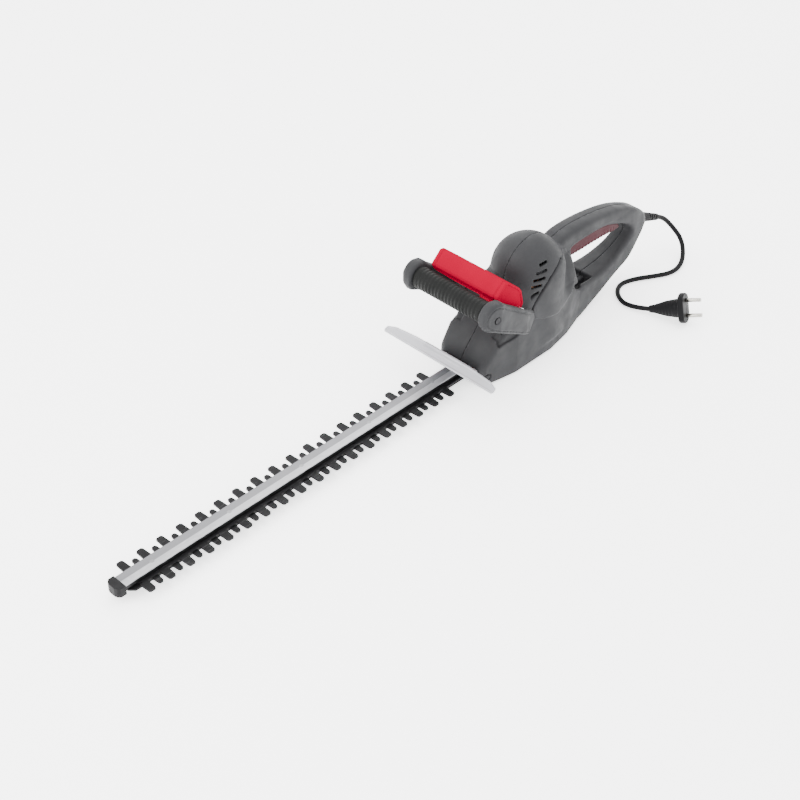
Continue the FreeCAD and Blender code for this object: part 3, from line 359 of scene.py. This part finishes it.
def surface_nets(field):
    """Vertices, in grid steps, and quads for the zero surface of a sampled field."""
    inside = field < 0
    cells_shape = tuple(count - 1 for count in field.shape)
    filled = np.zeros(cells_shape, np.int8)
    for i in (0, 1):
        for j in (0, 1):
            for k in (0, 1):
                filled += inside[i:cells_shape[0] + i, j:cells_shape[1] + j, k:cells_shape[2] + k]
    cells = np.argwhere((filled > 0) & (filled < 8))
    index = np.full(cells_shape, -1)
    index[tuple(cells.T)] = np.arange(len(cells))
    total = np.zeros((len(cells), 3))
    hits = np.zeros(len(cells))
    unit = np.eye(3, dtype=int)
    for axis in range(3):
        for shift_a in (0, 1):
            for shift_b in (0, 1):
                start = cells + shift_a * unit[(axis + 1) % 3] + shift_b * unit[(axis + 2) % 3]
                first = field[tuple(start.T)]
                last = field[tuple((start + unit[axis]).T)]
                crossed = (first < 0) != (last < 0)
                part = first[crossed] / (first[crossed] - last[crossed])
                total[crossed] += start[crossed] + part[:, None] * unit[axis]
                hits[crossed] += 1
    quads = []
    for axis in range(3):
        side_a, side_b = unit[(axis + 1) % 3], unit[(axis + 2) % 3]
        near = [slice(None)] * 3
        far = [slice(None)] * 3
        near[axis] = slice(None, -1)
        far[axis] = slice(1, None)
        first, last = inside[tuple(near)], inside[tuple(far)]
        edges = np.argwhere(first != last)
        limits = np.array(cells_shape)
        kept = np.all((edges - side_a - side_b >= 0) & (edges < limits), axis=1)
        edges = edges[kept]
        outward = first[tuple(edges.T)]
        ring = [index[tuple((edges - shift).T)] for shift in (0 * side_a, side_a, side_a + side_b, side_b)]
        quad = np.stack(ring, axis=1)
        quads.append(np.where(outward[:, None], quad, quad[:, ::-1]))
    return total / hits[:, None], np.concatenate(quads)


def carve(name, form, low, high, step, slot, body, replaces=(), passes=2):
    """Mesh a form given as a distance function, in millimetres, and settle its points on the surface."""
    axes = [np.arange(start - step, stop + 2 * step, step) for start, stop in zip(low, high)]
    grid = form(axes[0][:, None, None], axes[1][None, :, None], axes[2][None, None, :])
    points, quads = surface_nets(grid)
    points = points * step + np.array([axis[0] for axis in axes])
    reach = 0.3 * step
    for _ in range(passes):
        x, y, z = points.T
        distance = form(x, y, z)
        slope = np.stack([form(x + reach, y, z) - form(x - reach, y, z),
                          form(x, y + reach, z) - form(x, y - reach, z),
                          form(x, y, z + reach) - form(x, y, z - reach)], axis=1) / (2 * reach)
        steep = np.maximum((slope ** 2).sum(axis=1), 0.2)
        move = slope * (distance / steep)[:, None]
        points = points - np.clip(move, -0.5 * step, 0.5 * step)
    return add_piece(name, points * MM, quads, slot, body, replaces)


def add_piece(name, points, faces, slot, body, replaces=(), smooth=True):
    """Turn points and faces into a shown piece that rides on a CAD body."""
    data = bpy.data.meshes.new(name)
    data.from_pydata([tuple(point) for point in points], [], [tuple(face) for face in faces])
    data.validate()
    data.materials.append(PAINT[slot])
    data.polygons.foreach_set("use_smooth", [smooth] * len(data.polygons))
    piece = bpy.data.objects.new(name, data)
    bpy.context.collection.objects.link(piece)
    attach(piece, body)
    if replaces:
        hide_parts(*replaces)
    return piece


# ---------------------------------------------------------------- mains lead

# The lead's route from the sleeve's end to the plug's neck, the same points as in the CAD.
CORD_ROUTE = [
    (-253.9, 0, 55.4), (-268.0, 0, 49.1), (-279.0, 8.0, 34.5), (-284.0, 22.0, 19.0), (-272.0, 36.0, 7.5),
    (-252.0, 46.0, 3.2), (-231.0, 47.0, 3.2), (-210.0, 36.0, 3.2), (-189.0, 23.0, 3.2), (-166.0, 16.0, 3.2),
    (-145.0, 28.0, 3.2), (-134.0, 53.0, 3.2), (-145.5, 78.0, 6.9),
]
# The lead's diameter, in metres.
CORD_DIAMETER = 0.006


def mains_lead(plug_pieces):
    """The lead as one smooth curve from the sleeve's end to the plug's neck."""
    data = bpy.data.curves.new("mains_lead", "CURVE")
    data.dimensions = "3D"
    data.bevel_depth = CORD_DIAMETER / 2
    data.bevel_resolution = 6
    data.use_fill_caps = True
    data.resolution_u = 16
    spline = data.splines.new("NURBS")
    spline.points.add(len(CORD_ROUTE) - 1)
    for point, place in zip(spline.points, CORD_ROUTE):
        point.co = (place[0] * MM, place[1] * MM, place[2] * MM, 1)
    spline.order_u = 3
    spline.use_endpoint_u = True
    data.materials.append(PAINT["cord"])
    lead = bpy.data.objects.new("mains_lead", data)
    bpy.context.collection.objects.link(lead)
    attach(lead, "housing")
    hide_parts("cord")


# ---------------------------------------------------------------- casing

SIDE = [
    (-14, 0), (-50, 1), (-77, 2), (-98, 8), (-120, 13), (-142, 21), (-163, 26.5), (-178, 30), (-190, 38),
    (-203, 52), (-213, 61), (-221, 66), (-221, 74), (-214, 84), (-200, 96), (-180, 107), (-150, 118),
    (-111, 125), (-73, 128), (-44, 126), (-20, 112), (36, 100), (58, 86), (83, 62), (112, 27), (113, 20),
    (113, 8), (106, 0),
]
PLAN = [
    (113, 28), (106, 35), (60, 42), (-4, 42), (-40, 36), (-70, 27), (-110, 22), (-165, 16), (-190, 14),
    (-207, 12), (-221, 7.5), (-221, -60), (113, -60),
]
HAND = [
    (-64, 54), (-78, 46), (-125, 45), (-160, 54), (-182, 67), (-184, 76), (-170, 89), (-142, 100),
    (-118, 105), (-66, 105), (-60, 98),
]
TRIGGER_MOUTH = [(-51, 98), (-51, 112.5), (-150, 112.5), (-168, 105), (-170, 88), (-138, 88), (-130, 98)]
SOFT_SIDE = soften(SIDE)
SOFT_HAND = soften(HAND)


def casing_outer(x, y, z):
    """Belly, neck and D-shaped handle, with the motor dome blended in on top."""
    away = np.abs(y)
    flanks = smooth_max(polygon(x, z, SOFT_SIDE), polygon(x, away, PLAN), 6)
    rear_reach = np.interp(z, [40, 72, 104, 150], [70, 31, 15, 15])
    front_reach = np.interp(z, [60, 92, 120], [60, 42, 24])
    share = np.clip((x + 20) / 60, 0, 1)
    reach = rear_reach + (front_reach - rear_reach) * share
    belly = smooth_max(flanks, (away - reach) * 0.85, 9)
    dome = smooth_max(upright_capsule(x, y, z, 43, 101), 20 - z, 4)
    return smooth_min(belly, dome, 7)


def casing_rooms(x, y, z):
    """The chambers for gears, motor and switches, and the ways through the shell."""
    away = np.abs(y)
    gear_plan = polygon(x, away, [(106, 26), (99, 31), (60, 39), (-16, 39), (-34, 31), (-34, -60),
                                  (106, -60)])
    gear_side = polygon(x, z, [(-34, 8), (109, 8), (109, 22), (80, 60), (-34, 60)])
    rooms = [
        np.maximum(np.maximum(gear_plan, gear_side), slab(z, 7, 50)),
        np.maximum(upright_capsule(x, y, z, 40, 101), 30 - z),
        np.maximum(polygon(x, away, [(103, 25), (60, 35), (-11, 35), (-11, -60), (103, -60)]), z - 9.5),
        block(x, y, z, (101, 125), (-16.5, 16.5), (7, 20.6)),
        np.maximum(polygon(x, z, TRIGGER_MOUTH), away - 9.6),
        block(x, y, z, (60, 82), (-11, 11), (64, 104)),
        rod(y, z, (0, 70), 4.6) + np.maximum(x + 195, 0),
    ]
    nearest = rooms[0]
    for room in rooms[1:]:
        nearest = np.minimum(nearest, room)
    return nearest


def bore(x, y, z, start, end, radius):
    """A round hole that runs from one point to another."""
    run = np.subtract(end, start)
    offset = (x - start[0], y - start[1], z - start[2])
    part = np.clip(sum(gap * way for gap, way in zip(offset, run)) / (run ** 2).sum(), 0, 1)
    return np.sqrt(sum((gap - part * way) ** 2 for gap, way in zip(offset, run))) - radius


def casing_openings(x, y, z):
    """The cord-hook window down through the strut, its tongue, and the eyelet from each flank."""
    away = np.abs(y)
    eyelet = bore(x, away, z, (-48, 38, 68), (-77, 17, 44), 3.4)
    window = np.maximum(polygon(x, away, [(-70, 19), (-104, 17), (-104, -60), (-70, -60)]), z - 70)
    tongue = block(x, y, z, (-110, -84), (-5, 5), (30, 39))
    return np.minimum(np.maximum(window, -tongue), eyelet)


# The front edge of the raised side panel, from the arm's root up over the dome, then its rear bounds.
PANEL = [(40, 80), (34, 84.5), (22, 90), (15, 102), (8, 111), (-4, 118), (-18, 122), (-46, 116),
         (-58, 96), (-58, 70), (-20, 52), (30, 60)]
# Vent slots in the dome: height at the front end, and the angles round the motor axis where each one runs.
VENTS = [(93, 45, 58), (101, 46, 63), (109, 49, 69), (117, 54, 74), (125, 61, 79)]
SCOOP = [(90, 49), (80, 52.5), (70, 53), (61, 55), (56, 60), (62, 65), (74, 66), (84, 60)]
CORNER_BOSS = (102.5, 14.5)


def casing_relief(outer, x, y, z):
    """Moulded detail on both flanks: panel step, scoop under the arm, corner boss and vents."""
    away = np.abs(y)
    panel = polygon(x, z, soften(PANEL, 1))
    raised = smooth_max(outer - 1.1, smooth_max(panel, 14 - away, 2), 1.6)
    skin = np.minimum(outer, raised)
    groove = np.maximum(np.maximum(np.abs(panel + 0.2) - 0.9, 12 - away), np.maximum(76 - z, -18 - x))
    skin = smooth_max(skin, -np.maximum(groove, -(outer + 2.0)), 0.6)
    scoop = np.maximum(polygon(x, z, soften(SCOOP, 1)), 24 - away)
    skin = smooth_max(skin, -smooth_max(scoop, -(outer + 2.6), 1.5), 2)
    ring = np.abs(rod(x, z, CORNER_BOSS, 3.9)) - 1.2
    skin = smooth_max(skin, -np.maximum(np.maximum(ring, 20 - away), -(outer + 2.2)), 0.8)
    turn = np.degrees(np.arctan2(away, x))
    radial = np.sqrt(x ** 2 + y ** 2 + np.maximum(z - 101, 0) ** 2)
    for foot, first, last in VENTS:
        rise = z - foot - 0.12 * (turn - first)
        slot = np.maximum(np.abs(rise) - 1.7, np.maximum(first - turn, turn - last) * 0.7)
        skin = smooth_max(skin, -np.maximum(slot, 36 - radial), 0.7)
    return skin


def casing(x, y, z):
    """The whole shell: outer form less the hand opening, the window and the rooms."""
    outer = casing_relief(casing_outer(x, y, z), x, y, z)
    shell = smooth_max(outer, -polygon(x, z, SOFT_HAND), 7)
    shell = smooth_max(shell, -casing_openings(x, y, z), 2.5)
    return np.maximum(shell, -casing_rooms(x, y, z))


# Casing screws: forward position, height, and the depth of the head inside the right-hand wall.
SCREWS = [(-207, 76, 11), (-150, 43, 14), (-53, 34, 27), (-54, 82, 26), (52, 82, 38)]


def casing_left(x, y, z):
    """The left half, cut back a hair from the parting line."""
    return smooth_max(casing(x, y, z), 0.08 - y, 0.3)


def casing_right(x, y, z):
    """The right half, with the counterbores of the casing screws."""
    shell = smooth_max(casing(x, y, z), 0.08 + y, 0.3)
    for across, height, depth in SCREWS:
        counterbore = np.maximum(rod(x, z, (across, height), 3.9), y + depth - 2.4)
        shell = np.maximum(shell, -counterbore)
    return shell


def casing_halves(step):
    carve("casing_left_half", casing_left, (-222, 0, -1), (114, 45, 146), step, "casing", "housing",
          ["housing_left"])
    carve("casing_right_half", casing_right, (-222, -45, -1), (114, 0, 146), step, "casing", "housing",
          ["housing_right"])


casing_halves(1.25)


# ---------------------------------------------------------------- front handle, grip and lever

ARM_BAND = [(120, 140.1), (44, 86), (38, 74), (58, 61), (139, 111.9)]
ARM_PLAN = [(147, 60), (143, 64), (122, 66), (66, 58), (36, 47), (36, 42), (60, 42), (66, 50.3), (147, 50.3)]
BAR_CENTRE = (129.5, 126)
ARM_SCREW = (127.5, 122.5)


def bow(x, y, z):
    """Two arms that sweep back to the casing's flanks, joined by the bar inside the grip."""
    away = np.abs(y)
    side = smooth_min(polygon(x, z, ARM_BAND), rod(x, z, BAR_CENTRE, 17), 5)
    arm = smooth_max(side, polygon(x, away, ARM_PLAN), 6)
    arm = smooth_max(arm, -np.maximum(rod(x, z, ARM_SCREW, 4.4), 63.5 - away), 1)
    line = np.maximum(np.abs(side + 4.2) - 0.55, -(polygon(x, away, ARM_PLAN) + 1.1))
    arm = smooth_max(arm, -np.maximum(line, 54 - away), 0.6)
    bar = smooth_max(rod(x, z, BAR_CENTRE, 9), away - 51.5, 1)
    return smooth_min(arm, bar, 1.5)


def rubber_sleeve(x, y, z):
    """The grip: a thick sleeve with fine moulded ribs and rounded shoulders."""
    ribs = 0.3 * np.clip(np.cos(y * math.tau / 5.0) * 2, -1, 1)
    ribs = np.where(np.abs(y) < 44, ribs, 0.3)
    turn = np.arctan2(z - BAR_CENTRE[1], x - BAR_CENTRE[0])
    belly = 0.25 * np.cos(3 * turn)
    tube = rod(x, z, BAR_CENTRE, 12.5) - ribs + belly
    solid = smooth_max(tube, np.abs(y) - 50.2, 2.5)
    return np.maximum(solid, -rod(x, z, BAR_CENTRE, 9.1))


LEVER = [(112.5, 135.5), (96, 151), (70, 128.5), (64.5, 107), (70, 99), (79, 99), (108, 127)]


def switch_bar(x, y, z):
    """The red bar: a wedge with a raised rim round each end and a foot that reaches the switch."""
    away = np.abs(y)
    side = polygon(x, z, soften(LEVER, 1, 0.12))
    wedge = smooth_max(side, away - 49.5, 2.2)
    dish = np.maximum(side + 2.6, 48.3 - away)
    wedge = smooth_max(wedge, -dish, 1.0)
    top_line = np.maximum(slab(away, 43.2, 44.6), -(side + 0.8))
    wedge = smooth_max(wedge, -top_line, 0.5)
    hollow = polygon(x, z, [(107, 134), (96, 145.5), (73.5, 126), (69.5, 110), (80, 103)])
    wedge = np.maximum(wedge, -np.maximum(hollow, away - 45.5))
    foot = block(x, y, z, (67, 75), (-7, 7), (70, 108), 1)
    return np.minimum(wedge, foot)


def front_controls():
    step = 0.95
    carve("bow_handle", bow, (34, -67, 58), (149, 67, 145), step, "arm", "housing", ["front_handle"])
    carve("grip_sleeve", rubber_sleeve, (115, -51, 111), (144, 51, 141), step, "grip", "housing",
          ["front_grip"])
    carve("switch_bar", switch_bar, (62, -50, 69), (114, 50, 152), step, "red", "front_lever_set",
          ["front_lever"])


front_controls()


# ---------------------------------------------------------------- rear trigger

TRIGGER = [
    (-53, 100), (-53, 108.5), (-66, 109), (-120, 105), (-146, 99), (-159, 93), (-164, 87), (-160, 83.5),
    (-125, 86), (-80, 85.5), (-68, 87), (-64, 97),
]


def trigger_form(x, y, z):
    """The long paddle with rounded edges, finger grooves below and the way for its cross pin."""
    side = polygon(x, z, soften(TRIGGER, 1))
    body = smooth_max(side, np.abs(y) - 9, 3.5)
    grooves = 0.5 * np.clip(np.cos(x * math.tau / 6.0) * 2, 0, 1)
    grooves = np.where((x > -150) & (x < -76) & (z < 92), grooves, 0)
    return np.maximum(body + grooves, -rod(x, z, (-57, 104), 2.55))


trigger = carve("trigger_bar", trigger_form, (-165, -10, 82), (-52, 10, 110), 1.0, "red", "trigger_set",
                ["trigger"])
# The trigger takes the dark maroon that carries its painted shade.
trigger.data.materials[0] = PAINT["trigger"]


# ---------------------------------------------------------------- hand guard

GUARD_HALF = [(0, 82), (-2.5, 84), (-8, 83), (-12, 72), (-14.5, 42)]
GUARD_RAKE = math.radians(25)
GUARD_FRONT, GUARD_HEIGHT, GUARD_THICKNESS = 152, 44, 2.6
WEB = [(113, 21), (119, 21), (144.5, 49), (139.5, 51.5), (116, 27), (113, 26)]


def guard_form(x, y, z):
    """The raked plate with a folded rim, on the web that bolts to the nose."""
    away = np.abs(y)
    along = (x - GUARD_FRONT) * math.cos(GUARD_RAKE) - (z - GUARD_HEIGHT) * math.sin(GUARD_RAKE)
    above = (x - GUARD_FRONT) * math.sin(GUARD_RAKE) + (z - GUARD_HEIGHT) * math.cos(GUARD_RAKE)
    plan = polygon(along, away, GUARD_HALF + [(-14.5, -50), (0, -50)])
    plate = smooth_max(plan, slab(above, 0, GUARD_THICKNESS), 1.4)
    tray = np.maximum(plan + 2.4, 1.7 - above)
    plate = smooth_max(plate, -tray, 0.8)
    web = smooth_max(polygon(x, z, WEB), away - 28, 1.5)
    whole = smooth_min(plate, web, 2.0)
    for side in (-21, 21):
        whole = np.maximum(whole, -rod(y, z, (side, 23.6), 1.7))
        whole = np.maximum(whole, -np.maximum(rod(y, z, (side, 23.6), 3.5), 116.5 - x))
    return whole


carve("hand_guard", guard_form, (112, -85, 20), (153, 85, 54), 0.8, "guard", "housing",
      ["guard"])


# ---------------------------------------------------------------- sleeve and plug


def framed(form, origin, axis_x, axis_z):
    """A form written in local coordinates, turned and moved into the row frame."""
    x_way = Vector(axis_x).normalized()
    z_way = (Vector(axis_z) - x_way * Vector(axis_z).dot(x_way)).normalized()
    y_way = z_way.cross(x_way)

    def placed(x, y, z):
        dx, dy, dz = x - origin[0], y - origin[1], z - origin[2]
        local = [dx * way[0] + dy * way[1] + dz * way[2] for way in (x_way, y_way, z_way)]
        return form(*local)

    return placed


def sleeve_form(x, y, z):
    """The bend-relief sleeve: a taper cut by rings, staggered slots between them."""
    away = np.sqrt(y ** 2 + z ** 2)
    taper = (away - (6.3 - 2.1 * x / 36)) * 0.99
    rings = np.maximum(np.abs((x - 10) % 5.2 - 2.6) - 1.0, np.maximum(9 - x, x - 33))
    open_way = np.where(((x - 10) // 5.2) % 2 > 0.5, y, z)
    slots = np.maximum(np.maximum(rings, 3.4 - away), 1.1 - np.abs(open_way))
    solid = smooth_max(taper, slab(x, -6, 35.8), 0.8)
    return smooth_max(smooth_max(solid, -slots, 0.5), 3.02 - away, 0.2)


def plug_form(x, y, z):
    """The plug's body: a waisted, ribbed taper that ends in a flange with two flats."""
    away = np.sqrt(y ** 2 + z ** 2)
    width = np.interp(x, [0, 6, 22, 34, 40], [4.4, 4.9, 8.6, 11.3, 11.5])
    height = np.interp(x, [0, 6, 22, 34, 40], [4.4, 5.2, 9.6, 11.4, 11.5])
    squeeze = np.sqrt((y / width) ** 2 + (z / height) ** 2 + 1e-9)
    taper = (squeeze - 1) * np.minimum(width, height)
    ribs = 0.5 * np.clip(np.cos(x * math.tau / 4.2) * 2.5, 0, 1) * ((x > 9) & (x < 32) & (np.abs(y) > 3.5))
    taper = smooth_max(taper + ribs, slab(x, 0, 41), 1.2)
    flange = smooth_max(smooth_max(away - 18.4, np.abs(y) - 13.5, 2), slab(x, 39, 46), 1.6)
    seam = np.maximum(np.abs(y) - 0.35, -(np.minimum(taper, flange) + 0.4))
    return smooth_max(smooth_min(taper, flange, 2.5), -seam, 0.3)


PLUG_NECK = CORD_ROUTE[-1]
PLUG_AXIS = Vector((-0.374, 0.882, 0.290)).normalized()


def plug_upright():
    """The direction across the plug's two pins: upright, leaning with the flange."""
    upright = Vector((0, 0, 1)) - PLUG_AXIS * PLUG_AXIS.z
    return Matrix.Rotation(math.radians(-20), 3, PLUG_AXIS) @ upright


def sleeve_and_plug():
    droop = math.radians(24)
    sleeve_axis = (-math.cos(droop), 0, -math.sin(droop))
    low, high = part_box("strain_relief")
    carve("bend_sleeve", framed(sleeve_form, (-221, 0, 70), sleeve_axis, (0, 0, 1)),
          [value / MM - 1 for value in low], [value / MM + 1 for value in high], 0.7, "cord", "housing",
          ["strain_relief"])
    low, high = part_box("plug_body")
    return carve("plug_shell", framed(plug_form, PLUG_NECK, PLUG_AXIS, plug_upright()),
                 [value / MM - 1 for value in low], [value / MM + 1 for value in high], 0.7, "plug",
                 "housing", ["plug_body"])


mains_lead([sleeve_and_plug(), frame["nodes"]["plug_pins"]])
